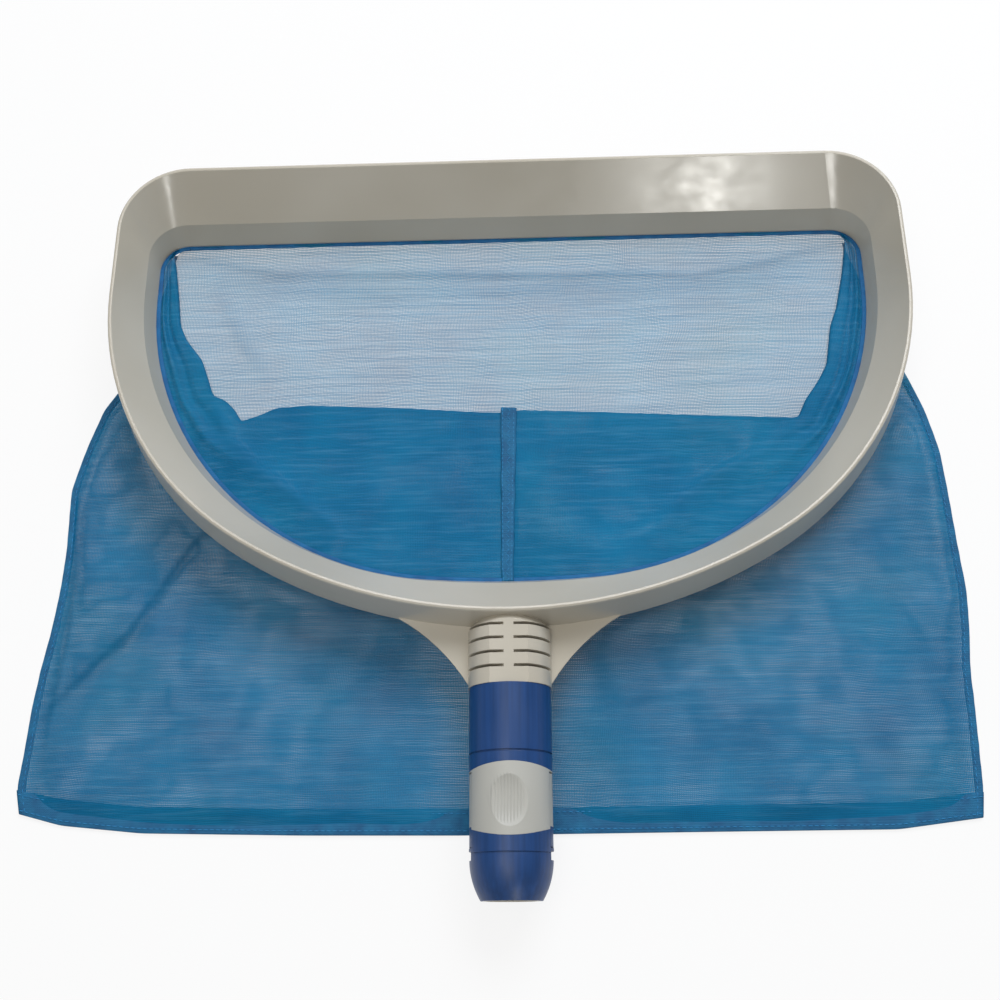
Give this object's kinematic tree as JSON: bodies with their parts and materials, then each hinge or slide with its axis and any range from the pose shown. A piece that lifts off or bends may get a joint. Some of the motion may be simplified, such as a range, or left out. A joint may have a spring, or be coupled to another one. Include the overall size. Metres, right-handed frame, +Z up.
{
  "type": "leaf skimmer net",
  "caption": "Wide plastic D-framed pool leaf skimmer with a deep mesh bag and a short grip that latches onto a telescopic pole.",
  "frame": {"origin": "on the surface the net lies on, under the middle of the mouth's widest part", "axes": "+X across the mouth, +Y away from the handle, +Z up out of the mouth"},
  "size_m": [0.5692, 0.4675, 0.051],
  "materials": {
    "frame_plastic": "satin warm grey moulding",
    "ring_plastic": "satin grey moulding",
    "screw_steel": "stainless",
    "pin_steel": "stainless",
    "spring_steel": "stainless wire",
    "binding_tape": "woven tape",
    "seam_tape": "stitched seam",
    "hem_tape": "doubled mesh hem",
    "bag_mesh": "fine nylon mesh",
    "grip_blue": "satin blue moulding",
    "grip_grey": "soft grey overmould"
  },
  "bodies": {
    "net_and_handle": {"frame_moulding": "frame_plastic", "net_retaining_ring": "ring_plastic", "ring_screws": "screw_steel", "mouth_binding": "binding_tape", "bag_floor_panel": "bag_mesh", "bag_cover_panel": "bag_mesh", "bag_centre_seam": "seam_tape", "bag_side_seam_left": "seam_tape", "bag_side_seam_right": "seam_tape", "bag_bottom_hem": "hem_tape", "grip_upper_shell": "grip_blue", "grip_lower_shell": "grip_blue", "thumb_pad": "grip_grey", "palm_pad": "grip_grey", "tail_ring": "grip_blue", "grip_screws": "screw_steel", "latch_pivot_pin_left": "pin_steel", "latch_pivot_pin_right": "pin_steel", "latch_spring_left": "spring_steel", "latch_spring_right": "spring_steel"},
    "latch_left": {"latch_lever_left": "grip_blue", "latch_pad_left": "grip_grey"},
    "latch_right": {"latch_lever_right": "grip_blue", "latch_pad_right": "grip_grey"}
  },
  "joints": [
    {"name": "latch_left_pivot", "type": "hinge", "parent": "net_and_handle", "child": "latch_left", "pos_m": [-0.019, -0.31952, 0.02629], "axis": [0, 0, -1], "range_deg": [0, 8.5], "stiffness_Nm_per_rad": 0.2, "springref_deg": -8.59, "deforming": ["latch_spring_left"]},
    {"name": "latch_right_pivot", "type": "hinge", "parent": "net_and_handle", "child": "latch_right", "pos_m": [0.019, -0.31952, 0.02629], "axis": [0, 0, 1], "range_deg": [0, 8.5], "stiffness_Nm_per_rad": 0.2, "springref_deg": -8.59, "deforming": ["latch_spring_right"]}
  ]
}
